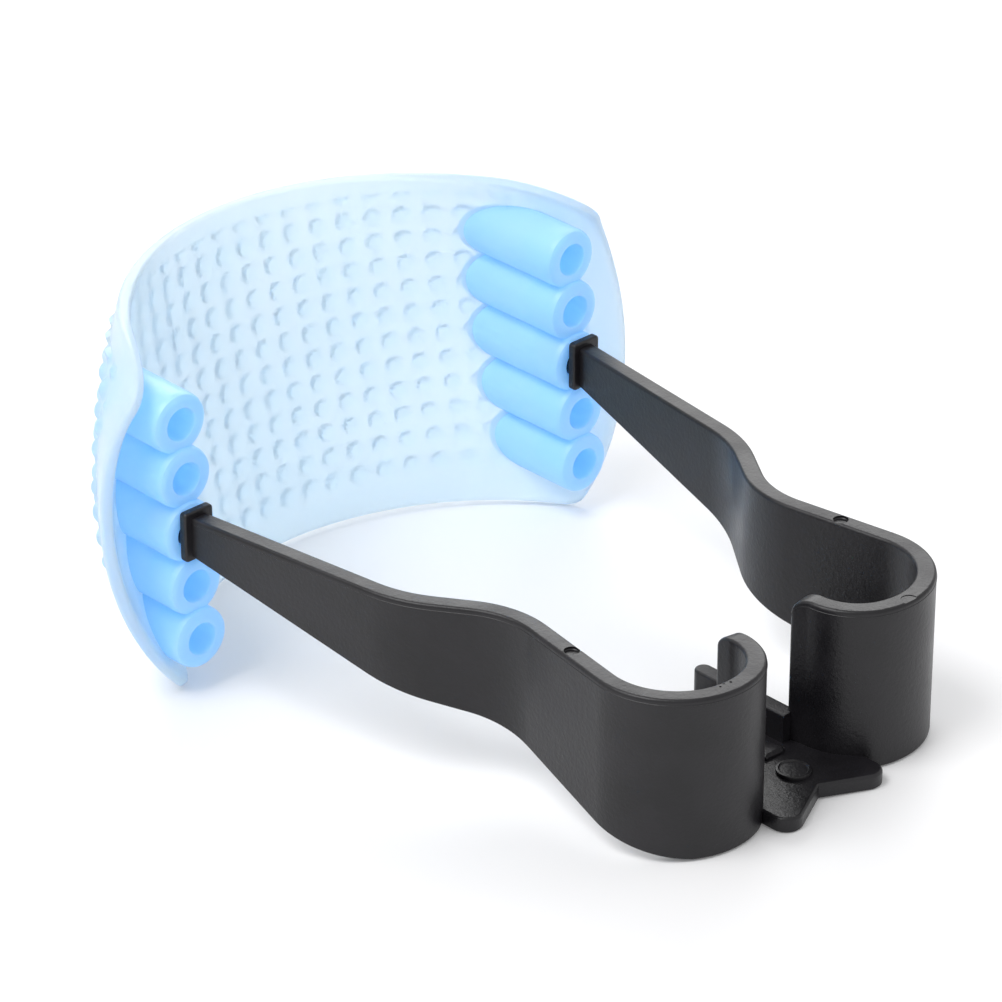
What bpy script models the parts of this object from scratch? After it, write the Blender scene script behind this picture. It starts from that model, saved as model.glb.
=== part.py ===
"""Pop-up flash diffuser: a curved screen with two columns of sockets, plugged on a hot-shoe bracket.

The frame is in metres, +Z up. Its origin is the middle of the foot's underside, X = 0 is the plane of
symmetry, and +Y runs from the foot to the screen.
"""
import math

import bmesh
import bpy

MM = 0.001
GAP = 0.3 * MM                      # clearance between neighbouring pieces

# Hot-shoe foot
FOOT_HALF_WIDTH = 9.3 * MM
FOOT_THICKNESS = 2.1 * MM
FOOT_FRONT = 13.0 * MM
FOOT_NOTCH = -FOOT_FRONT            # the point of the V in the rear edge
FOOT_CHAMFER = 1.5 * MM
TAIL_ANGLE = math.radians(27.0)     # each edge of the rear V, from the X axis
TAIL_RADIUS = 2.2 * MM
BOSS_RADIUS = 2.3 * MM
BOSS_HEIGHT = 0.5 * MM
BOSS_Y = FOOT_NOTCH + 4.3 * MM
NECK_INNER = 3.8 * MM               # the two neck walls pass between the rails of the shoe
NECK_OUTER = 6.2 * MM
NECK_HEIGHT = 4.0 * MM

# Band that makes each arm and its spring loop
BAND = 2.6 * MM
BAND_TOP = 22.6 * MM
SLOPE_START = -11.0 * MM             # the lower edge rises in front of this Y
SLOPE = 0.2286
EDGE_ROUND = 0.3 * MM
TIP_Y = -2.4 * MM
TIP_RADIUS = 3.0 * MM
TIP_X = 6.3 * MM
ARM_SPLIT_Y = 16.9 * MM
FOOT_ZONE = FOOT_HALF_WIDTH + 1.6 * MM   # nearer the middle than this, the band stands on the foot

# Collar and pin at the end of each arm
PIN_X = 34.4 * MM
PIN_Z = 19.5 * MM
PIN_RADIUS = 1.9 * MM
PIN_LENGTH = 5.8 * MM
PIN_CHAMFER = 0.4 * MM
COLLAR_WIDTH = 4.7 * MM
COLLAR_HEIGHT = 7.0 * MM
COLLAR_RISE = 0.5 * MM             # middle of the collar above the pin's axis
COLLAR_THICKNESS = 1.2 * MM
COLLAR_REAR = 63.1 * MM
COLLAR_FRONT = COLLAR_REAR + COLLAR_THICKNESS

# Sockets on the rear of the screen
SOCKETS = 5
SOCKET_PITCH = 7.5 * MM
SOCKET_RADIUS = 4.2 * MM
SOCKET_FLAT = 0.5 * SOCKET_PITCH - 0.5 * GAP
SOCKET_LEAN = 0.093                 # the mouths lean forward towards the top
MOUTH_Y = COLLAR_FRONT + GAP
BORE_RADIUS = 2.2 * MM
BORE_DEPTH = 7.0 * MM
SOCKET_LENGTH = 22.0 * MM           # before the screen's own space is cut away

# Screen
SCREEN_HEIGHT = 46.4 * MM
SCREEN_WALL = 1.8 * MM
SCREEN_MIDDLE = 19.4 * MM
SCREEN_HALF_WIDTH = 46.5 * MM
SIDE_ARC = 34.0 * MM                # radius of the bowed side edges
WIDEST_RISE = 1.2 * MM              # the screen is widest this far above its middle
TOP_CORNER = 5.0 * MM
BOTTOM_CORNER = 1.0 * MM
CURVE_SPAN = 20.0 * MM              # height unit of the two formulas below
SCREEN_COLUMNS = 26
SCREEN_ROWS = 14
SPACE_DEPTH = 14.0 * MM


def clear_scene():
    for item in list(bpy.data.objects):
        bpy.data.objects.remove(item)


def new_collection(name):
    collection = bpy.data.collections.new(name)
    bpy.context.scene.collection.children.link(collection)
    return collection


def plastic(name, colour, roughness, transmission=0.0):
    material = bpy.data.materials.new(name)
    material.use_nodes = True
    shader = material.node_tree.nodes["Principled BSDF"]
    shader.inputs["Base Color"].default_value = (*colour, 1.0)
    shader.inputs["Roughness"].default_value = roughness
    shader.inputs["Metallic"].default_value = 0.0
    shader.inputs["Transmission Weight"].default_value = transmission
    return material


def add_piece(name, mesh, collection, parent, material):
    """Put a mesh in the scene as one named piece."""
    piece = bpy.data.objects.new(name, mesh)
    collection.objects.link(piece)
    piece.parent = parent
    piece.matrix_parent_inverse = parent.matrix_world.inverted()
    mesh.materials.clear()
    mesh.materials.append(material)
    mesh.shade_smooth()
    mesh.set_sharp_from_angle(angle=math.radians(35.0))
    return piece


def add_tool(name, mesh, collection):
    tool = bpy.data.objects.new(name, mesh)
    collection.objects.link(tool)
    tool.hide_render = True
    tool.display_type = "WIRE"
    return tool


def add_empty(name, location, collection):
    empty = bpy.data.objects.new(name, None)
    empty.location = location
    collection.objects.link(empty)
    bpy.context.view_layer.update()
    return empty


def round_edges(piece, width, segments=1):
    bevel = piece.modifiers.new("rounded edges", "BEVEL")
    bevel.width = width
    bevel.segments = segments
    bevel.limit_method = "ANGLE"
    bevel.angle_limit = math.radians(50.0)


def combine(piece, tool, operation):
    boolean = piece.modifiers.new(operation.lower(), "BOOLEAN")
    boolean.operation = operation
    boolean.object = tool


def arc(centre_x, centre_y, radius, start, end, steps):
    """Points on an arc, in the plane of an outline, angles in degrees."""
    points = []
    for i in range(steps + 1):
        angle = math.radians(start + (end - start) * i / steps)
        points.append((centre_x + radius * math.cos(angle), centre_y + radius * math.sin(angle)))
    return points


def outline_mesh(points, thickness):
    """A flat outline in XY, extruded evenly about Z = 0, as a welded mesh."""
    curve = bpy.data.curves.new("outline", "CURVE")
    curve.dimensions = "2D"
    curve.fill_mode = "BOTH"
    curve.extrude = 0.5 * thickness
    spline = curve.splines.new("POLY")
    spline.points.add(len(points) - 1)
    for point, (x, y) in zip(spline.points, points):
        point.co = (x, y, 0.0, 1.0)
    spline.use_cyclic_u = True
    holder = bpy.data.objects.new("outline", curve)
    bpy.context.scene.collection.objects.link(holder)
    bpy.context.view_layer.update()
    evaluated = holder.evaluated_get(bpy.context.evaluated_depsgraph_get())
    mesh = bpy.data.meshes.new_from_object(evaluated)
    bpy.data.objects.remove(holder)
    shape = bmesh.new()
    shape.from_mesh(mesh)
    bmesh.ops.remove_doubles(shape, verts=shape.verts, dist=0.00001)
    bmesh.ops.recalc_face_normals(shape, faces=shape.faces)
    shape.to_mesh(mesh)
    shape.free()
    return mesh


def cylinder_mesh(radius, length, segments):
    """A cylinder about Z, centred."""
    mesh = bpy.data.meshes.new("cylinder")
    shape = bmesh.new()
    bmesh.ops.create_cone(shape, cap_ends=True, segments=segments, radius1=radius, radius2=radius, depth=length)
    shape.to_mesh(mesh)
    shape.free()
    return mesh


# ---------------------------------------------------------------- bracket


def band_path():
    """Centre line of the right band in XY, from the collar back, round the loop and to its tip.

    Each step is a straight run or an arc; the heading is measured from -Y towards the middle.
    """
    x, y = PIN_X - 0.1 * MM, COLLAR_REAR - GAP
    heading = math.radians(7.6)
    runs = [
        ("line", 28.3 * MM, 4),
        ("inward", 18.2 * MM, 26.4, 4),
        ("line", 5.1 * MM, 1),
        ("outward", 12.9 * MM, 43.5, 7),
        ("line", 14.3 * MM, 3),
        ("inward", 10.2 * MM, 117.0, 19),
        ("inward", 7.4 * MM, 72.5, 11),
    ]
    points = [(x, y)]
    for run in runs:
        steps = run[-1]
        for _ in range(steps):
            if run[0] == "line":
                length, turn = run[1] / steps, 0.0
            else:
                turn = math.radians(run[2] / steps)
                length = 2.0 * run[1] * math.sin(0.5 * turn)
                if run[0] == "outward":
                    turn = -turn
            heading += 0.5 * turn
            x -= length * math.sin(heading)
            y -= length * math.cos(heading)
            heading += 0.5 * turn
            points.append((x, y))
    last_x, last_y = points[-1]
    for share in (0.3, 0.55, 0.75, 0.9, 1.0):
        points.append((last_x + (TIP_X - last_x) * share, last_y + (TIP_Y - last_y) * share))
    return points


def lower_edge(x, y, on_foot):
    """Height of the band's lower edge: level under the loop, rising along the arm."""
    if on_foot:
        return FOOT_THICKNESS + GAP
    return max(0.0, y - SLOPE_START) * SLOPE


def strip_mesh(points, tip):
    """An upright open strip over the given centre line."""
    mesh = bpy.data.meshes.new("strip")
    shape = bmesh.new()
    low = []
    for x, y in points:
        on_foot = tip and abs(x) < FOOT_ZONE
        low.append(shape.verts.new((x, y, lower_edge(x, y, on_foot))))
    edges = [shape.edges.new(pair) for pair in zip(low, low[1:])]
    raised = bmesh.ops.extrude_edge_only(shape, edges=edges)["geom"]
    for vert in raised:
        if isinstance(vert, bmesh.types.BMVert):
            vert.co.z = BAND_TOP
            if tip and abs(vert.co.x) < FOOT_ZONE:
                into_round = max(0.0, vert.co.y - (TIP_Y - TIP_RADIUS))
                vert.co.z -= TIP_RADIUS - math.sqrt(TIP_RADIUS ** 2 - min(into_round, TIP_RADIUS) ** 2)
    bmesh.ops.recalc_face_normals(shape, faces=shape.faces)
    shape.to_mesh(mesh)
    shape.free()
    return mesh


def split_path(path):
    """The arm's and the loop's share of the centre line, with a gap between them."""
    half = 0.5 * GAP
    arm = [point for point in path if point[1] > ARM_SPLIT_Y + half]
    loop = [point for point in path if point[1] < ARM_SPLIT_Y - half]
    split_x = 0.5 * (arm[-1][0] + loop[0][0])
    return arm + [(split_x, ARM_SPLIT_Y + half)], [(split_x, ARM_SPLIT_Y - half)] + loop


def add_band(name, points, side, tip, collection, parent, material):
    mesh = strip_mesh([(side * x, y) for x, y in points], tip)
    piece = add_piece(name, mesh, collection, parent, material)
    wall = piece.modifiers.new("wall", "SOLIDIFY")
    wall.thickness = BAND
    wall.offset = 0.0
    wall.use_even_offset = True
    round_edges(piece, EDGE_ROUND)
    return piece


def foot_outline():
    """Plate outline: a V cut in the rear edge, rounded tails, straight sides, chamfered front."""
    centre_x = FOOT_HALF_WIDTH - TAIL_RADIUS
    centre_y = FOOT_NOTCH + TAIL_RADIUS / math.cos(TAIL_ANGLE) - centre_x * math.tan(TAIL_ANGLE)
    tail = arc(centre_x, centre_y, TAIL_RADIUS, -90.0 - math.degrees(TAIL_ANGLE), 0.0, 8)
    right = [(0.0, FOOT_NOTCH)] + tail
    right.append((FOOT_HALF_WIDTH, FOOT_FRONT - FOOT_CHAMFER))
    right.append((FOOT_HALF_WIDTH - FOOT_CHAMFER, FOOT_FRONT))
    left = [(-x, y) for x, y in reversed(right[1:])]
    return right + left


def add_foot(collection, parent, material, tools):
    """The plate that slides into a camera's hot shoe, with the round boss near its tail."""
    mesh = outline_mesh(foot_outline(), FOOT_THICKNESS)
    plate = add_piece("foot_plate", mesh, collection, parent, material)
    plate.location.z = 0.5 * FOOT_THICKNESS
    boss = add_tool("boss", cylinder_mesh(BOSS_RADIUS, 2.0 * BOSS_HEIGHT, 32), tools)
    boss.location = (0.0, BOSS_Y, FOOT_THICKNESS)
    combine(plate, boss, "UNION")


def add_neck_wall(name, side, collection, parent, material):
    """Low upright wall on the foot, with a rounded front end."""
    half = 0.5 * (NECK_OUTER - NECK_INNER)
    middle = side * 0.5 * (NECK_OUTER + NECK_INNER)
    rear = TIP_Y + 2.0 * GAP
    points = [(middle - half, rear), (middle + half, rear)]
    points += arc(middle, FOOT_FRONT - half, half, 0.0, 180.0, 8)
    height = NECK_HEIGHT - GAP
    wall = add_piece(name, outline_mesh(points, height), collection, parent, material)
    wall.location.z = FOOT_THICKNESS + GAP + 0.5 * height


def add_collar(name, side, collection, parent, material):
    mesh = bpy.data.meshes.new("collar")
    shape = bmesh.new()
    bmesh.ops.create_cube(shape, size=1.0)
    bmesh.ops.scale(shape, verts=shape.verts, vec=(COLLAR_WIDTH, COLLAR_THICKNESS, COLLAR_HEIGHT))
    shape.to_mesh(mesh)
    shape.free()
    collar = add_piece(name, mesh, collection, parent, material)
    collar.location = (side * PIN_X, 0.5 * (COLLAR_REAR + COLLAR_FRONT), PIN_Z + COLLAR_RISE)
    round_edges(collar, EDGE_ROUND, 2)


def add_pin(name, side, collection, parent, material):
    """Round pin in front of the collar, pointing along +Y."""
    mesh = cylinder_mesh(PIN_RADIUS, PIN_LENGTH, 28)
    pin = add_piece(name, mesh, collection, parent, material)
    pin.rotation_euler = (-0.5 * math.pi, 0.0, 0.0)
    pin.location = (side * PIN_X, COLLAR_FRONT + GAP + 0.5 * PIN_LENGTH, PIN_Z)
    round_edges(pin, PIN_CHAMFER)


def build_bracket(collection, tools):
    black = plastic("black_satin_plastic", (0.012, 0.012, 0.014), 0.42)
    root = add_empty("bracket", (0.0, 0.0, 0.0), collection)
    add_foot(collection, root, black, tools)
    arm_points, loop_points = split_path(band_path())
    for word, side in (("left", -1.0), ("right", 1.0)):
        add_neck_wall(f"{word}_neck_wall", side, collection, root, black)
        add_band(f"{word}_spring_loop", loop_points, side, True, collection, root, black)
        add_band(f"{word}_arm", arm_points, side, False, collection, root, black)
        add_collar(f"{word}_collar", side, collection, root, black)
        add_pin(f"{word}_pin", side, collection, root, black)


# ---------------------------------------------------------------- screen


def half_width(height):
    """Half the screen's width at a height above its middle: bowed sides and round corners."""
    bow = SIDE_ARC - math.sqrt(SIDE_ARC ** 2 - (height - WIDEST_RISE) ** 2)
    radius = TOP_CORNER if height > 0.0 else BOTTOM_CORNER
    into_corner = max(0.0, abs(height) - (0.5 * SCREEN_HEIGHT - radius))
    corner = radius - math.sqrt(max(0.0, radius ** 2 - into_corner ** 2))
    return SCREEN_HALF_WIDTH - bow - corner


def screen_point(across, height):
    """Point of the outer face; across runs from -1 to 1 and height from the screen's middle.

    At each height the plan is an arc of a circle. Its radius and its centre change with height.
    """
    x = across * half_width(height)
    level = (height + SCREEN_MIDDLE - BAND_TOP) / CURVE_SPAN
    radius = (56.2 - 4.9 * level - 12.6 * level ** 2) * MM
    centre = (36.5 + 9.5 * level + 13.1 * level ** 2) * MM
    return x, centre + math.sqrt(radius ** 2 - x ** 2), SCREEN_MIDDLE + height


def screen_surface():
    """Outer face of the screen as an open grid, finer towards its corners."""
    mesh = bpy.data.meshes.new("screen_surface")
    shape = bmesh.new()
    bmesh.ops.create_grid(shape, x_segments=SCREEN_COLUMNS, y_segments=SCREEN_ROWS, size=1.0)
    for vert in shape.verts:
        height = 0.5 * SCREEN_HEIGHT * math.sin(0.5 * math.pi * vert.co.y)
        vert.co = screen_point(vert.co.x, height)
    bmesh.ops.recalc_face_normals(shape, faces=shape.faces)
    if sum(face.normal.y for face in shape.faces) < 0.0:
        bmesh.ops.reverse_faces(shape, faces=shape.faces)
    shape.to_mesh(mesh)
    shape.free()
    return mesh


def thicken(piece, outward, inward):
    """Solidify from a distance inside the surface to a distance outside it."""
    wall = piece.modifiers.new("wall", "SOLIDIFY")
    wall.thickness = outward + inward
    wall.offset = (outward - inward) / (outward + inward)
    wall.use_even_offset = True


def socket_outline(first, last):
    """Section of one socket: round, and flat where it meets the next one."""
    flat = math.degrees(math.asin(SOCKET_FLAT / SOCKET_RADIUS))
    top = 90.0 if first else flat
    bottom = -90.0 if last else -flat
    right = arc(0.0, 0.0, SOCKET_RADIUS, bottom, top, 12)
    left = arc(0.0, 0.0, SOCKET_RADIUS, 180.0 - top, 180.0 - bottom, 12)
    if first:
        left = left[1:]
    if last:
        left = left[:-1]
    return right + left


def add_socket(name, side, row, collection, parent, material, tools, screen_space):
    """One socket barrel, cut by the screen's space and by its blind bore."""
    z = PIN_Z + (0.5 * (SOCKETS - 1) - row) * SOCKET_PITCH
    mouth = MOUTH_Y + (z - PIN_Z) * SOCKET_LEAN
    mesh = outline_mesh(socket_outline(row == 0, row == SOCKETS - 1), SOCKET_LENGTH)
    socket = add_piece(name, mesh, collection, parent, material)
    upright = (0.5 * math.pi, 0.0, 0.0)
    socket.rotation_euler = upright
    socket.location = (side * PIN_X, mouth + 0.5 * SOCKET_LENGTH, z)
    bore = add_tool(f"{name}_bore", cylinder_mesh(BORE_RADIUS, 2.0 * BORE_DEPTH, 28), tools)
    bore.rotation_euler = upright
    bore.location = (side * PIN_X, mouth, z)
    combine(socket, screen_space, "DIFFERENCE")
    combine(socket, bore, "DIFFERENCE")


def build_screen(collection, tools):
    blue = plastic("blue_translucent_plastic", (0.35, 0.68, 0.95), 0.35, 0.5)
    carrier = add_empty("screen_carrier", (0.0, MOUTH_Y, PIN_Z), collection)
    surface = screen_surface()
    space = add_tool("screen_space", surface.copy(), tools)
    thicken(space, SPACE_DEPTH, SCREEN_WALL + GAP)
    screen = add_piece("screen_panel", surface, collection, carrier, blue)
    thicken(screen, 0.0, SCREEN_WALL)
    for word, side in (("left", -1.0), ("right", 1.0)):
        for row in range(SOCKETS):
            name = f"{word}_socket_{row + 1}"
            add_socket(name, side, row, collection, carrier, blue, tools, space)


def main():
    clear_scene()
    parts = new_collection("popup_flash_diffuser")
    tools = new_collection("cutters")
    build_bracket(parts, tools)
    build_screen(parts, tools)


main()
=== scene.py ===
"""Looks of the pop-up flash diffuser: a black moulded bracket and a bumpy translucent screen."""

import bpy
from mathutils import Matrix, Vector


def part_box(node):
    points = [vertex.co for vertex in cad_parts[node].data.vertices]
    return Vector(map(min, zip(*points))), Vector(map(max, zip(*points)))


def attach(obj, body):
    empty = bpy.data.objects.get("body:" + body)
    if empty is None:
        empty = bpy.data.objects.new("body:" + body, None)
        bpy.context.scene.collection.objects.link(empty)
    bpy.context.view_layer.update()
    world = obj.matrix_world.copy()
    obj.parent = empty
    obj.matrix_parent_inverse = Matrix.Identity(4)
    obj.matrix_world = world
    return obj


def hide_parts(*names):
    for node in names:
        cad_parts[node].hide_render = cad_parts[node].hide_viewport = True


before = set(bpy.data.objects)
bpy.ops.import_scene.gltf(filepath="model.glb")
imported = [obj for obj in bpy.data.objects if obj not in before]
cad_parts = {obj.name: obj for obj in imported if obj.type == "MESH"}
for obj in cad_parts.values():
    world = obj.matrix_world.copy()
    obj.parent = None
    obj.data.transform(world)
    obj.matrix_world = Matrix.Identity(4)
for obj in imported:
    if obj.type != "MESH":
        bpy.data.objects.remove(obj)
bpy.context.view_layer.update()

import math
import random

import bmesh
import bpy
from mathutils import Euler, Matrix, Vector

MM = 0.001
random.seed(7)

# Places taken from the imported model, in metres
PLATE_LOW, PLATE_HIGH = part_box("foot_plate")
COLLAR_LOW, COLLAR_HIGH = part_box("right_collar")
PIN_LOW, PIN_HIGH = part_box("right_pin")
NECK_LOW, NECK_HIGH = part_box("right_neck_wall")
SCREEN_LOW, SCREEN_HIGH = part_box("screen_panel")

# Foot
FOOT_HALF_WIDTH = PLATE_HIGH.x
FOOT_THICKNESS = 2.1 * MM
FOOT_FRONT = PLATE_HIGH.y
FOOT_NOTCH = -FOOT_FRONT
FOOT_CHAMFER = 1.5 * MM
TAIL_ANGLE = math.radians(27.0)
TAIL_RADIUS = 2.2 * MM
BOSS_RADIUS = 2.3 * MM
BOSS_Y = FOOT_NOTCH + 4.3 * MM
NECK_HALF = 0.5 * (NECK_HIGH.x - NECK_LOW.x)
NECK_MIDDLE = 0.5 * (NECK_HIGH.x + NECK_LOW.x)

# Band of the arms and loops
BAND = 2.6 * MM
BAND_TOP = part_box("right_spring_loop")[1].z
SLOPE_START = -11.0 * MM            # the band's lower edge rises in front of this
SLOPE = 0.2286
TIP_X = 6.3 * MM
TIP_Y = -2.4 * MM
TIP_RADIUS = 3.0 * MM
FOOT_ZONE = FOOT_HALF_WIDTH + 1.6 * MM
FOOT_SINK = 0.4 * MM                # height of the band's lower edge inside the plate
TIP_DROP = 0.85                     # share of the tip's rounding that is taken off its top,
                                    # in the zone beside the foot
TIP_EDGE = 0.6 * MM                 # rounding of the tip's upright edges
TIP_NARROWING = 0.7
UPPER_EDGE = 0.45 * MM
LOWER_EDGE = 0.3 * MM
PARTING_DROP = 0.75 * MM            # parting line below the band's top
PARTING_RISE = 0.05 * MM
BURIED = 0.8 * MM                   # how far the arm runs on into its collar

# Marks of the mould on the band's top
EJECTOR_X = 23.8 * MM
EJECTOR_Y = 6.4 * MM
EJECTOR_RADIUS = 1.0 * MM
MARK_AT = (15.0 * MM, -13.3 * MM)
MARK_RADIUS = 1.1 * MM
PITS_MM = ((-15.2, -12.0, 0.28), (-16.1, -11.7, 0.2), (-16.9, -11.9, 0.24))    # x, y and radius
GATE_AT = (0.9 * MM, -3.4 * MM)
GATE_ROUGHNESS = 0.16 * MM

# Pins and sockets
PIN_X = 0.5 * (PIN_LOW.x + PIN_HIGH.x)
PIN_Z = 0.5 * (PIN_LOW.z + PIN_HIGH.z)
PIN_RADIUS = 0.5 * (PIN_HIGH.z - PIN_LOW.z)
COLLAR_HALF_WIDTH = 0.5 * (COLLAR_HIGH.x - COLLAR_LOW.x)
COLLAR_HALF_HEIGHT = 0.5 * (COLLAR_HIGH.z - COLLAR_LOW.z)
COLLAR_Z = 0.5 * (COLLAR_LOW.z + COLLAR_HIGH.z)
SOCKET_PITCH = 7.5 * MM
SOCKET_LEAN = 0.093
MOUTH_Y = COLLAR_HIGH.y + 0.3 * MM
BORE_DEPTH = 7.0 * MM
BARREL_STEPS = 56

# Screen
SCREEN_MIDDLE = 0.5 * (SCREEN_LOW.z + SCREEN_HIGH.z)
SCREEN_HALF_HEIGHT = 0.5 * (SCREEN_HIGH.z - SCREEN_LOW.z)
SCREEN_HALF_WIDTH = 46.5 * MM
SCREEN_WALL = 1.8 * MM
SCREEN_EDGE = 0.55 * MM             # rounding of the rim
SIDE_ARC = 34.0 * MM                # radius of the bowed sides
WIDEST_RISE = 1.2 * MM              # widest place above the screen's middle
TOP_CORNER = 5.0 * MM
BOTTOM_CORNER = 1.0 * MM
CURVE_SPAN = 20.0 * MM
GRID_STEP = 0.36 * MM

# Bumps on the outside of the screen
BUMP_COLUMN_PITCH = 3.9 * MM
BUMP_ROW_PITCH = 3.5 * MM
BUMP_RADIUS = 1.4 * MM
BUMP_HEIGHT = 0.75 * MM
BUMP_BORDER = 3.2 * MM
BUMP_FULLNESS = 0.75


# ---------------------------------------------------------------- helpers


def link(name, mesh):
    """Put a mesh in the scene."""
    piece = bpy.data.objects.new(name, mesh)
    bpy.context.scene.collection.objects.link(piece)
    return piece


def mesh_of(shape, name):
    """Turn a bmesh into a mesh whose faces look outwards."""
    bmesh.ops.recalc_face_normals(shape, faces=shape.faces)
    mesh = bpy.data.meshes.new(name)
    shape.to_mesh(mesh)
    shape.free()
    return mesh


def arc(centre_x, centre_y, radius, start, end, steps):
    """Points on an arc, angles in degrees."""
    points = []
    for i in range(steps + 1):
        angle = math.radians(start + (end - start) * i / steps)
        points.append((centre_x + radius * math.cos(angle), centre_y + radius * math.sin(angle)))
    return points


def add_rings(shape, rings):
    """Skin closed rings of equal length one after another, and close both ends."""
    made = [[shape.verts.new(point) for point in ring] for ring in rings]
    count = len(made[0])
    for low, high in zip(made, made[1:]):
        for i in range(count):
            j = (i + 1) % count
            shape.faces.new((low[i], low[j], high[j], high[i]))
    shape.faces.new(made[0])
    shape.faces.new(list(reversed(made[-1])))


def stack(name, outline, levels, placing=None):
    """A solid whose section at each height is the outline, inset by a given amount."""
    shape = bmesh.new()
    add_rings(shape, [[Vector((x, y, z)) for x, y in outline(inset)] for z, inset in levels])
    if placing is not None:
        shape.transform(placing)
    return mesh_of(shape, name)


def rounded_box(half_x, half_y, corner):
    """Outline function of a rectangle with round corners."""
    def outline(inset):
        points = []
        for sign_x, sign_y, start in ((1, 1, 0), (-1, 1, 90), (-1, -1, 180), (1, -1, 270)):
            centre = (sign_x * (half_x - corner), sign_y * (half_y - corner))
            points += arc(*centre, corner - inset, start, start + 90, 4)
        return points
    return outline


def circle(radius, steps=40):
    """Outline function of a circle."""
    def outline(inset):
        return arc(0.0, 0.0, radius - inset, 0.0, 360.0, steps)[:-1]
    return outline


def round_levels(low, high, size):
    """Levels of a solid whose two end edges are rounded."""
    insets = (1.0, 0.6173, 0.2929, 0.0761, 0.0)    # even steps round a quarter of a circle
    start = [(low + size * (1.0 - math.sqrt(1.0 - (1.0 - s) ** 2)), size * s) for s in insets]
    end = [(high - (z - low), inset) for z, inset in reversed(start)]
    return start + end


def combined(base, tools, operation):
    """Apply Booleans of a list of meshes to a base mesh, and return the result."""
    piece = link("boolean_base", base)
    helpers = []
    for mesh in tools:
        helper = link("boolean_tool", mesh)
        helpers.append(helper)
        step = piece.modifiers.new("step", "BOOLEAN")
        step.operation = operation
        step.solver = "EXACT"
        step.object = helper
    bpy.context.view_layer.update()
    evaluated = piece.evaluated_get(bpy.context.evaluated_depsgraph_get())
    result = bpy.data.meshes.new_from_object(evaluated)
    for item in [piece] + helpers:
        bpy.data.objects.remove(item)
    return result


def finish_piece(name, mesh, material, body, nodes, sharp=32.0):
    """Name the piece, shade it, tie it to its body, and hide the CAD nodes that it stands for."""
    mesh.materials.clear()
    mesh.materials.append(material)
    mesh.shade_smooth()
    mesh.set_sharp_from_angle(angle=math.radians(sharp))
    piece = link(name, mesh)
    weighted = piece.modifiers.new("face weighted normals", "WEIGHTED_NORMAL")
    weighted.keep_sharp = True
    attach(piece, body)
    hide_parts(*nodes)


# ---------------------------------------------------------------- materials


def new_material(name):
    """A node material, its nodes and its links."""
    material = bpy.data.materials.new(name)
    material.use_nodes = True
    return material, material.node_tree.nodes, material.node_tree.links


def noise_node(nodes, links, scale, detail, rough):
    """Noise in the object's own space."""
    coordinates = nodes.new("ShaderNodeTexCoord")
    texture = nodes.new("ShaderNodeTexNoise")
    texture.inputs["Scale"].default_value = scale
    texture.inputs["Detail"].default_value = detail
    texture.inputs["Roughness"].default_value = rough
    links.new(coordinates.outputs["Object"], texture.inputs["Vector"])
    return texture


def ranged(nodes, links, source, low, high):
    """Spread a noise, which mostly lies between 0.3 and 0.7, over another range."""
    node = nodes.new("ShaderNodeMapRange")
    node.inputs["From Min"].default_value = 0.3
    node.inputs["From Max"].default_value = 0.7
    node.inputs["To Min"].default_value = low
    node.inputs["To Max"].default_value = high
    links.new(source, node.inputs["Value"])
    return node.outputs["Result"]


def black_plastic():
    """Near-black satin plastic with the fine grain of a spark-eroded mould."""
    material, nodes, links = new_material("black_satin_plastic")
    shader = nodes["Principled BSDF"]
    shader.inputs["IOR"].default_value = 1.45
    grain = noise_node(nodes, links, 1700.0, 3.0, 0.6)
    patches = noise_node(nodes, links, 160.0, 4.0, 0.55)
    ramp = nodes.new("ShaderNodeValToRGB")
    ramp.color_ramp.elements[0].position = 0.35
    ramp.color_ramp.elements[0].color = (0.0060, 0.0056, 0.0070, 1.0)
    ramp.color_ramp.elements[1].position = 0.7
    ramp.color_ramp.elements[1].color = (0.0115, 0.0105, 0.0130, 1.0)
    links.new(patches.outputs["Fac"], ramp.inputs["Fac"])
    links.new(ramp.outputs["Color"], shader.inputs["Base Color"])
    links.new(ranged(nodes, links, patches.outputs["Fac"], 0.30, 0.42), shader.inputs["Roughness"])
    bump = nodes.new("ShaderNodeBump")
    bump.inputs["Strength"].default_value = 0.6
    bump.inputs["Distance"].default_value = 0.08 * MM
    links.new(grain.outputs["Fac"], bump.inputs["Height"])
    links.new(bump.outputs["Normal"], shader.inputs["Normal"])
    return material


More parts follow.
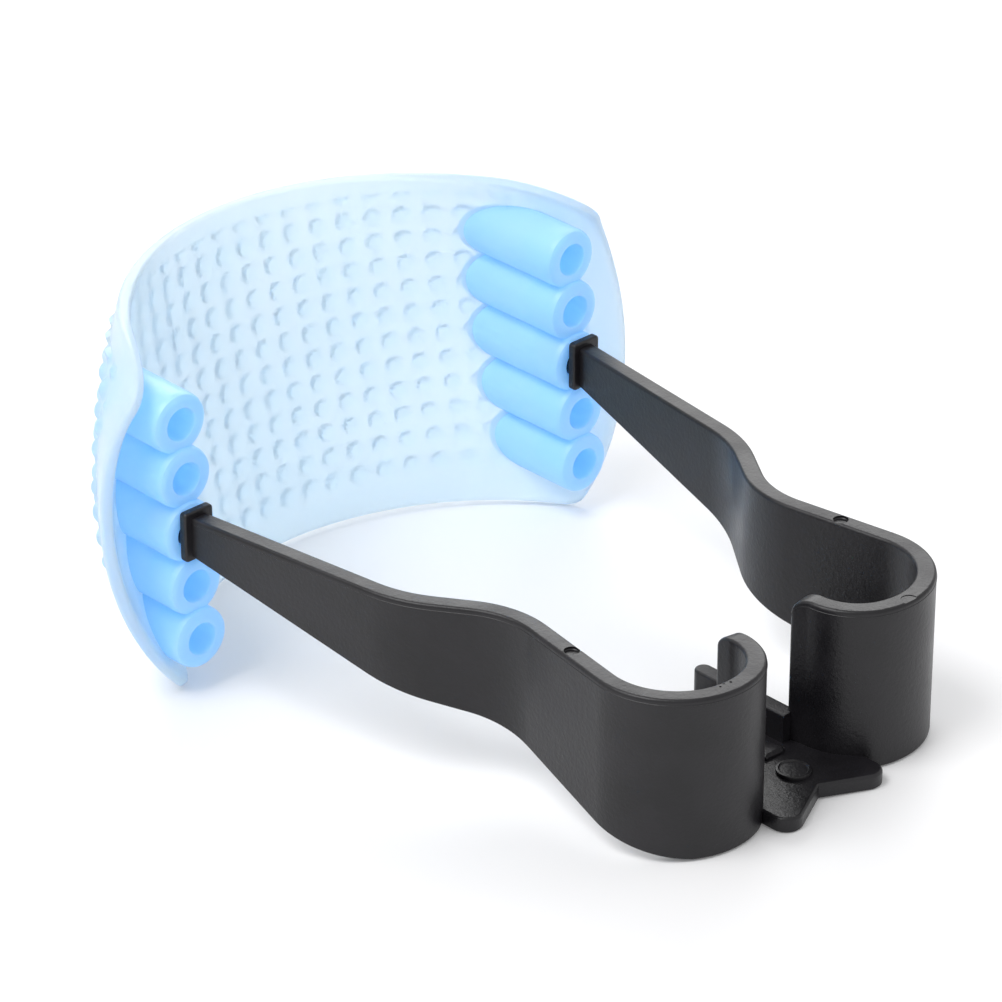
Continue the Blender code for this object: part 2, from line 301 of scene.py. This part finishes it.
def blue_plastic(name, pale, bump_tint_and_shade, transmission, scatter, glow, roughness):
    """Milky blue plastic; the bumps are tinted a little deeper, partly for their thicker plastic and
    partly as painted shade that makes them stand out.

    The glow stands in for light that the real plastic scatters inside itself.
    """
    material, nodes, links = new_material(name)
    shader = nodes["Principled BSDF"]
    shader.inputs["IOR"].default_value = 1.47
    shader.inputs["Transmission Weight"].default_value = transmission
    shader.inputs["Subsurface Weight"].default_value = scatter
    shader.inputs["Subsurface Radius"].default_value = (0.8, 0.9, 1.0)
    shader.inputs["Subsurface Scale"].default_value = 2.0 * MM
    shader.inputs["Emission Color"].default_value = (0.17, 0.50, 1.0, 1.0)
    shader.inputs["Emission Strength"].default_value = glow
    cloud = noise_node(nodes, links, 70.0, 3.0, 0.5)
    grain = noise_node(nodes, links, 1800.0, 2.0, 0.5)
    rise = nodes.new("ShaderNodeAttribute")
    rise.attribute_name = "rise"
    add = nodes.new("ShaderNodeMath")
    add.operation = "ADD"
    links.new(rise.outputs["Fac"], add.inputs[0])
    links.new(ranged(nodes, links, cloud.outputs["Fac"], 0.0, 0.12), add.inputs[1])
    # Painted shade: the colour deepens with the bumps' rise, partly for their thicker plastic and partly
    # so that the bumps stand out.
    mix = nodes.new("ShaderNodeMix")
    mix.data_type = "RGBA"
    mix.inputs["A"].default_value = (*pale, 1.0)
    mix.inputs["B"].default_value = (*bump_tint_and_shade, 1.0)
    links.new(add.outputs["Value"], mix.inputs["Factor"])
    links.new(mix.outputs["Result"], shader.inputs["Base Color"])
    low, high = roughness
    links.new(ranged(nodes, links, cloud.outputs["Fac"], low, high), shader.inputs["Roughness"])
    bump = nodes.new("ShaderNodeBump")
    bump.inputs["Strength"].default_value = 0.12
    bump.inputs["Distance"].default_value = 0.04 * MM
    links.new(grain.outputs["Fac"], bump.inputs["Height"])
    links.new(bump.outputs["Normal"], shader.inputs["Normal"])
    return material


# ---------------------------------------------------------------- bracket


def band_path():
    """Centre line of the right band, from the collar back, round the loop and to its tip.

    Each run is a length with no bend, or a radius with its bend in degrees, positive towards the middle.
    """
    x, y = PIN_X - 0.1 * MM, COLLAR_LOW.y - 0.3 * MM
    heading = math.radians(7.6)
    runs = [
        (28.3 * MM, 0.0, 14),
        (18.2 * MM, 26.4, 12),
        (5.1 * MM, 0.0, 3),
        (12.9 * MM, -43.5, 18),
        (14.3 * MM, 0.0, 7),
        (10.2 * MM, 117.0, 44),
        (7.4 * MM, 72.5, 26),
    ]
    points = [(x + BURIED * math.sin(heading), y + BURIED * math.cos(heading)), (x, y)]
    for size, bend, steps in runs:
        turn = math.radians(bend / steps)
        length = 2.0 * size * math.sin(0.5 * abs(turn)) if bend else size / steps
        for _ in range(steps):
            heading += 0.5 * turn
            x -= length * math.sin(heading)
            y -= length * math.cos(heading)
            heading += 0.5 * turn
            points.append((x, y))
    last_x, last_y = points[-1]
    for share in (0.15, 0.3, 0.42, 0.54, 0.64, 0.72, 0.79, 0.85, 0.9, 0.94, 0.97, 0.99, 1.0):
        points.append((last_x + (TIP_X - last_x) * share, last_y + (TIP_Y - last_y) * share))
    return points


def band_section(half, low, top):
    """Upright section with rounded edges and the mould's parting line on the outer side."""
    upper = min(UPPER_EDGE, 0.9 * half)
    lower = min(LOWER_EDGE, 0.9 * half)
    line = top - PARTING_DROP
    points = [(half, line - 0.07 * MM), (half + PARTING_RISE, line - 0.03 * MM)]
    points += [(half + PARTING_RISE, line + 0.03 * MM), (half, line + 0.07 * MM)]
    points += arc(half - upper, top - upper, upper, 0.0, 90.0, 4)
    points += arc(-half + upper, top - upper, upper, 90.0, 180.0, 4)
    points += arc(-half + lower, low + lower, lower, 180.0, 270.0, 3)
    points += arc(half - lower, low + lower, lower, 270.0, 360.0, 3)
    return points


def band_mesh(side):
    """The band of one side, swept along its centre line."""
    path = band_path()
    run = [0.0]
    for (x0, y0), (x1, y1) in zip(path, path[1:]):
        run.append(run[-1] + math.hypot(x1 - x0, y1 - y0))
    rings = []
    for i, (x, y) in enumerate(path):
        x0, y0 = path[max(0, i - 1)]
        x1, y1 = path[min(len(path) - 1, i + 1)]
        length = math.hypot(x1 - x0, y1 - y0)
        out_x, out_y = -(y1 - y0) / length, (x1 - x0) / length
        low = max(0.02 * MM, (y - SLOPE_START) * SLOPE)
        top = BAND_TOP
        half = 0.5 * BAND
        past_middle = i > len(path) // 2
        if past_middle and x < FOOT_HALF_WIDTH - 1.6 * MM:
            low = FOOT_SINK
        if past_middle and x < FOOT_ZONE and y > TIP_Y - TIP_RADIUS:
            into_round = min(TIP_RADIUS, y - (TIP_Y - TIP_RADIUS))
            top -= TIP_DROP * (TIP_RADIUS - math.sqrt(TIP_RADIUS ** 2 - into_round ** 2))
        to_end = run[-1] - run[i]
        if to_end < TIP_EDGE:
            half -= TIP_NARROWING * (TIP_EDGE - math.sqrt(TIP_EDGE ** 2 - (TIP_EDGE - to_end) ** 2))
        section = band_section(half, low, top)
        rings.append([Vector((side * (x + u * out_x), y + u * out_y, z)) for u, z in section])
    shape = bmesh.new()
    add_rings(shape, rings)
    return mesh_of(shape, "band")


def foot_outline(inset):
    """Plate outline: a V cut in the rear edge, rounded tails, straight sides, chamfered front."""
    slant = math.sqrt(2.0) - 1.0
    centre_x = FOOT_HALF_WIDTH - TAIL_RADIUS
    centre_y = FOOT_NOTCH + TAIL_RADIUS / math.cos(TAIL_ANGLE) - centre_x * math.tan(TAIL_ANGLE)
    right = [(0.0, FOOT_NOTCH + inset / math.cos(TAIL_ANGLE))]
    right += arc(centre_x, centre_y, TAIL_RADIUS - inset, -90.0 - math.degrees(TAIL_ANGLE), 0.0, 12)
    right.append((FOOT_HALF_WIDTH - inset, FOOT_FRONT - FOOT_CHAMFER - slant * inset))
    right.append((FOOT_HALF_WIDTH - FOOT_CHAMFER - slant * inset, FOOT_FRONT - inset))
    return right + [(-x, y) for x, y in reversed(right[1:])]


def neck_outline(middle):
    """Outline function of a neck wall, with a round front end."""
    def outline(inset):
        half = NECK_HALF - inset
        rear = TIP_Y - 0.8 * MM
        points = [(middle - half, rear), (middle + half, rear)]
        return points + arc(middle, FOOT_FRONT - NECK_HALF, half, 0.0, 180.0, 14)
    return outline


def gate_stub():
    """Rough rest of the moulding gate on the plate."""
    shape = bmesh.new()
    outline = rounded_box(1.8 * MM, 1.4 * MM, 0.5 * MM)
    top = FOOT_THICKNESS + 0.65 * MM
    levels = [(FOOT_THICKNESS - 0.5 * MM, 0.0), (top - 0.3 * MM, 0.05 * MM), (top, 0.35 * MM)]
    rings = []
    for z, inset in levels:
        ring = []
        for x, y in outline(inset):
            rough = 0.0 if z < FOOT_THICKNESS else GATE_ROUGHNESS
            ring.append(Vector((
                x + rough * random.uniform(-1.0, 1.0),
                y + rough * random.uniform(-1.0, 1.0),
                z + rough * random.uniform(-0.8, 0.8),
            )))
        rings.append(ring)
    add_rings(shape, rings)
    shape.transform(Matrix.Translation((*GATE_AT, 0.0)))
    return mesh_of(shape, "gate")


def build_bracket(material):
    """The whole bracket as one solid, with the marks that its mould leaves."""
    top = FOOT_THICKNESS
    plate = stack("plate", foot_outline, [
        (0.0, 0.2 * MM), (0.2 * MM, 0.0), (top - 0.42 * MM, 0.0), (top - 0.3 * MM, 0.04 * MM),
        (top - 0.12 * MM, 0.16 * MM), (top - 0.03 * MM, 0.3 * MM), (top, 0.42 * MM),
    ])
    boss_at = Matrix.Translation((0.0, BOSS_Y, 0.0))
    boss = stack("boss", circle(BOSS_RADIUS), [
        (top - 0.6 * MM, 0.0), (top + 0.38 * MM, 0.02 * MM), (top + 0.47 * MM, 0.06 * MM),
        (top + 0.5 * MM, 0.15 * MM), (top + 0.5 * MM, 0.35 * MM), (top + 0.32 * MM, 0.5 * MM),
        (top + 0.3 * MM, 0.6 * MM),
    ], boss_at)
    adds = [boss, gate_stub()]
    cuts = []
    forward = Matrix.Rotation(-0.5 * math.pi, 4, "X")
    for side in (-1.0, 1.0):
        adds.append(band_mesh(side))
        levels = round_levels(0.0, NECK_HIGH.z, 0.35 * MM)
        levels = [(1.0 * MM, 0.0)] + levels[len(levels) // 2:]
        adds.append(stack("neck", neck_outline(side * NECK_MIDDLE), levels))
        collar = rounded_box(COLLAR_HALF_WIDTH, COLLAR_HALF_HEIGHT, 0.55 * MM)
        place = Matrix.Translation((side * PIN_X, 0.0, COLLAR_Z)) @ forward
        adds.append(stack("collar", collar, round_levels(COLLAR_LOW.y, COLLAR_HIGH.y, 0.3 * MM), place))
        place = Matrix.Translation((side * PIN_X, 0.0, PIN_Z)) @ forward
        end = PIN_HIGH.y
        adds.append(stack("pin", circle(PIN_RADIUS), [
            (COLLAR_HIGH.y - 0.5 * MM, 0.0), (end - 0.5 * MM, 0.0),
            (end - 0.15 * MM, 0.15 * MM), (end, 0.5 * MM),
        ], place))
        place = Matrix.Translation((side * EJECTOR_X, EJECTOR_Y, BAND_TOP))
        levels = [(-0.4 * MM, 0.1 * MM), (-0.3 * MM, 0.0), (1.0 * MM, 0.0)]
        cuts.append(stack("ejector", circle(EJECTOR_RADIUS, 28), levels, place))
    mark = Matrix.Translation((*MARK_AT, BAND_TOP))
    cuts.append(stack("mark", circle(MARK_RADIUS, 28), [(-0.07 * MM, 0.0), (1.0 * MM, 0.0)], mark))
    for x, y, size in PITS_MM:
        pit = Matrix.Translation((x * MM, y * MM, BAND_TOP))
        cuts.append(stack("pit", circle(size * MM, 9), [(-0.2 * MM, 0.1 * MM), (1.0 * MM, 0.0)], pit))
    mesh = combined(plate, adds, "UNION")
    mesh = combined(mesh, cuts, "DIFFERENCE")
    nodes = ["foot_plate"]
    for word in ("left", "right"):
        nodes += [f"{word}_{part}" for part in ("neck_wall", "spring_loop", "arm", "collar", "pin")]
    finish_piece("bracket_moulding", mesh, material, "bracket", nodes)


# ---------------------------------------------------------------- screen


def half_width(height):
    """Half the screen's width at a height above its middle: bowed sides and round corners."""
    bow = SIDE_ARC - math.sqrt(SIDE_ARC ** 2 - (height - WIDEST_RISE) ** 2)
    radius = TOP_CORNER if height > 0.0 else BOTTOM_CORNER
    into_corner = max(0.0, abs(height) - (SCREEN_HALF_HEIGHT - radius))
    corner = radius - math.sqrt(max(0.0, radius ** 2 - into_corner ** 2))
    return SCREEN_HALF_WIDTH - bow - corner


def outer_curve(height):
    """Radius and centre of the outer face's plan at a height above the screen's middle."""
    level = (height + SCREEN_MIDDLE - BAND_TOP) / CURVE_SPAN
    radius = (56.2 - 4.9 * level - 12.6 * level ** 2) * MM
    centre = (36.5 + 9.5 * level + 13.1 * level ** 2) * MM
    return radius, centre


def outer_y(x, height):
    """How far forward the outer face is, at each height an arc of a circle."""
    radius, centre = outer_curve(height)
    return centre + math.sqrt(radius ** 2 - x ** 2)


def outer_normal(x, height):
    """Direction straight out of the outer face."""
    step = 0.05 * MM
    lean_x = (outer_y(x + step, height) - outer_y(x - step, height)) / (2.0 * step)
    lean_z = (outer_y(x, height + step) - outer_y(x, height - step)) / (2.0 * step)
    return Vector((-lean_x, 1.0, -lean_z)).normalized()


def bump_rise(x, height):
    """Height of the bumps, from 0 to 1, at a point of the outer face."""
    z = height + SCREEN_MIDDLE - BAND_TOP
    if half_width(height) - abs(x) < BUMP_BORDER or SCREEN_HALF_HEIGHT - abs(height) < BUMP_BORDER:
        return 0.0
    row = round(z / BUMP_ROW_PITCH)
    radius = outer_curve(0.0)[0]
    along = radius * math.asin(x / radius)
    column = round(along / BUMP_COLUMN_PITCH - 0.5) + 0.5
    distance = math.hypot(along - column * BUMP_COLUMN_PITCH, z - row * BUMP_ROW_PITCH)
    if distance > BUMP_RADIUS:
        return 0.0
    return (1.0 - (distance / BUMP_RADIUS) ** 2) ** BUMP_FULLNESS


def screen_rows():
    """Heights of the grid's rows: even between the corners, closer along them."""
    low = -SCREEN_HALF_HEIGHT + BOTTOM_CORNER
    high = SCREEN_HALF_HEIGHT - TOP_CORNER
    rows = [low - BOTTOM_CORNER * math.cos(0.5 * math.pi * i / 8) for i in range(8)]
    count = round((high - low) / GRID_STEP)
    rows += [low + (high - low) * i / count for i in range(count + 1)]
    return rows + [high + TOP_CORNER * math.sin(0.5 * math.pi * i / 18) for i in range(1, 19)]


def screen_mesh():
    """The closed panel: bumpy outer face, smooth inner face and a rounded edge between them."""
    rows = screen_rows()
    columns = round(2.2 * SCREEN_HALF_WIDTH / GRID_STEP)
    shrink = 1.0 - SCREEN_EDGE / SCREEN_HALF_HEIGHT
    shape = bmesh.new()
    # The bumps' rise is kept for the panel's material, which paints the bumps a deeper blue, partly as
    # painted shade.
    layer = shape.verts.layers.float.new("rise")

    def place(column, height, inset):
        """X and height of a grid point, on the rim or inset from it by the rim's rounding."""
        level = height * (shrink if inset else 1.0)
        width = half_width(height) - (SCREEN_EDGE if inset else 0.0)
        radius = outer_curve(level)[0]
        reach = math.asin(width / radius)
        return radius * math.sin(reach * (2.0 * column / columns - 1.0)), level

    outer, inner = [], []
    for height in rows:
        outer_row, inner_row = [], []
        for column in range(columns + 1):
            x, level = place(column, height, True)
            point = Vector((x, outer_y(x, level), SCREEN_MIDDLE + level))
            normal = outer_normal(x, level)
            rise = bump_rise(x, level)
            vert = shape.verts.new(point + normal * (BUMP_HEIGHT * rise))
            vert[layer] = rise
            outer_row.append(vert)
            inner_row.append(shape.verts.new(point - normal * SCREEN_WALL))
        outer.append(outer_row)
        inner.append(inner_row)
    last = len(rows) - 1
    for low in range(last):
        high = low + 1
        for i in range(columns):
            shape.faces.new((outer[low][i], outer[low][i + 1], outer[high][i + 1], outer[high][i]))
            shape.faces.new((inner[low][i], inner[high][i], inner[high][i + 1], inner[low][i + 1]))
    around = [(0, i) for i in range(columns)] + [(j, columns) for j in range(last)]
    around += [(last, i) for i in range(columns, 0, -1)] + [(j, 0) for j in range(last, 0, -1)]
    share = SCREEN_EDGE / SCREEN_WALL
    steps = [share * (1.0 - math.cos(0.5 * math.pi * k / 4)) for k in range(1, 5)]
    steps += [1.0 - step for step in reversed(steps)]
    rings = [[outer[j][i] for j, i in around]]
    for step in steps:
        near = min(step, 1.0 - step) / share
        bulge = math.sqrt(max(0.0, 1.0 - (1.0 - near) ** 2)) if near < 1.0 else 1.0
        ring = []
        for j, i in around:
            x, level = place(i, rows[j], False)
            out = Vector((x, outer_y(x, level), SCREEN_MIDDLE + level)) - outer[j][i].co
            ring.append(shape.verts.new(outer[j][i].co.lerp(inner[j][i].co, step) + out * bulge))
        rings.append(ring)
    rings.append([inner[j][i] for j, i in around])
    for near, far in zip(rings, rings[1:]):
        for i in range(len(around)):
            k = (i + 1) % len(around)
            shape.faces.new((near[i], far[i], far[k], near[k]))
    return mesh_of(shape, "panel")


def barrel_mesh(side, row):
    """One socket barrel with a rounded mouth and a blind bore, ending inside the panel's wall.

    The profile's radii are in millimetres. The run goes on by shares of the way to the panel.
    """
    z = PIN_Z + (2 - row) * SOCKET_PITCH
    mouth = MOUTH_Y + (z - PIN_Z) * SOCKET_LEAN
    profile = [
        (0.4, BORE_DEPTH), (1.6, BORE_DEPTH), (2.05, BORE_DEPTH - 0.15 * MM),
        (2.2, BORE_DEPTH - 0.5 * MM), (2.2, 3.5 * MM), (2.2, 0.5 * MM), (2.22, 0.2 * MM),
        (2.28, 0.06 * MM), (2.42, 0.0), (3.2, 0.0), (3.65, 0.08 * MM), (4.0, 0.32 * MM),
        (4.15, 0.7 * MM), (4.2, 1.2 * MM),
    ]
    run = [(4.2, 0.3), (4.2, 0.6), (4.2, 0.85), (4.2, 1.0), (3.0, 1.0), (1.6, 1.0), (0.4, 1.0)]
    rings = []
    for radius, depth in profile:
        around = arc(0.0, 0.0, radius * MM, 0.0, 360.0, BARREL_STEPS)[:-1]
        rings.append([Vector((side * PIN_X + a, mouth + depth, z + b)) for a, b in around])
    start = mouth + 1.2 * MM
    for radius, share in run:
        ring = []
        for a, b in arc(0.0, 0.0, radius * MM, 0.0, 360.0, BARREL_STEPS)[:-1]:
            x, height = side * PIN_X + a, z + b - SCREEN_MIDDLE
            end = outer_y(x, height) - 0.5 * SCREEN_WALL / outer_normal(x, height).y
            ring.append(Vector((x, start + (end - start) * share, z + b)))
        rings.append(ring)
    shape = bmesh.new()
    add_rings(shape, rings)
    return mesh_of(shape, "barrel")


def build_screen(panel_material, barrel_material):
    """The panel and its two columns of sockets."""
    finish_piece("diffuser_panel", screen_mesh(), panel_material, "screen", ["screen_panel"], 50.0)
    for word, side in (("left", -1.0), ("right", 1.0)):
        barrels = [barrel_mesh(side, row) for row in range(5)]
        mesh = combined(barrels[0], barrels[1:], "UNION")
        nodes = [f"{word}_socket_{row + 1}" for row in range(5)]
        finish_piece(f"{word}_socket_column", mesh, barrel_material, "screen", nodes)


# ---------------------------------------------------------------- stage


def build_floor():
    """A pale floor that touches the loops' rear edge and the screen's lower corners."""
    rear = Vector((0.0, PLATE_LOW.y + 2.0 * MM, 0.0))
    slope = 0.0
    for vert in bpy.data.objects["diffuser_panel"].data.vertices:
        slope = max(slope, (rear.z - vert.co.z) / (vert.co.y - rear.y))
    mesh = bpy.data.meshes.new("floor")
    shape = bmesh.new()
    bmesh.ops.create_grid(shape, x_segments=8, y_segments=8, size=3.0)
    tilt = Euler((-math.atan(slope), 0.0, 0.0)).to_matrix().to_4x4()
    shape.transform(Matrix.Translation(rear - Vector((0.0, 0.0, 0.1 * MM))) @ tilt)
    shape.to_mesh(mesh)
    shape.free()
    material, nodes, _ = new_material("pale_floor")
    shader = nodes["Principled BSDF"]
    shader.inputs["Base Color"].default_value = (0.8, 0.8, 0.81, 1.0)
    shader.inputs["Roughness"].default_value = 0.55
    shader.inputs["Emission Color"].default_value = (1.0, 1.0, 1.0, 1.0)
    shader.inputs["Emission Strength"].default_value = 0.1
    mesh.materials.append(material)
    floor = link("floor", mesh)


def area_light(name, location, target, size, power):
    """A soft rectangular light that looks at the target."""
    data = bpy.data.lights.new(name, "AREA")
    data.shape = "RECTANGLE"
    data.size, data.size_y = size
    data.energy = power
    light = bpy.data.objects.new(name, data)
    light.location = location
    light.rotation_euler = (Vector(target) - Vector(location)).to_track_quat("-Z", "Y").to_euler()
    bpy.context.scene.collection.objects.link(light)


def build_studio():
    """A bright even surround with one light above and one behind the object."""
    world = bpy.data.worlds.new("studio")
    world.use_nodes = True
    background = world.node_tree.nodes["Background"]
    background.inputs["Color"].default_value = (1.0, 1.0, 1.0, 1.0)
    background.inputs["Strength"].default_value = 0.75
    bpy.context.scene.world = world
    middle = (0.0, 0.04, 0.02)
    area_light("key", (-0.45, 0.15, 0.8), middle, (0.5, 0.5), 5.0)
    area_light("back", (0.5, 0.6, 0.45), middle, (0.7, 0.35), 2.4)
    view = bpy.context.scene.view_settings
    view.view_transform = "Standard"
    view.look = "None"


def build_camera():
    """The camera, at the angle that the object is pictured from."""
    data = bpy.data.cameras.new("camera")
    data.lens = 179.64
    data.sensor_width = 36.0
    camera = bpy.data.objects.new("camera", data)
    camera.location = (-0.3894, -0.3650, 0.32825)
    camera.rotation_euler = (math.radians(61.32), 0.0, math.radians(-43.61))
    bpy.context.scene.collection.objects.link(camera)
    bpy.context.scene.camera = camera


build_bracket(black_plastic())
build_screen(
    blue_plastic(
        # The second colour paints the bumps deeper, partly for their thicker plastic and partly as
        # painted shade.
        "blue_translucent_panel", pale=(0.86, 0.96, 1.0), bump_tint_and_shade=(0.68, 0.89, 1.0),
        transmission=0.58, scatter=0.35, glow=0.06, roughness=(0.34, 0.42),
    ),
    blue_plastic(
        "blue_translucent_barrel", pale=(0.50, 0.78, 1.0), bump_tint_and_shade=(0.44, 0.72, 1.0),
        transmission=0.45, scatter=0.5, glow=0.17, roughness=(0.34, 0.44),
    ),
)
build_floor()
build_studio()
build_camera()
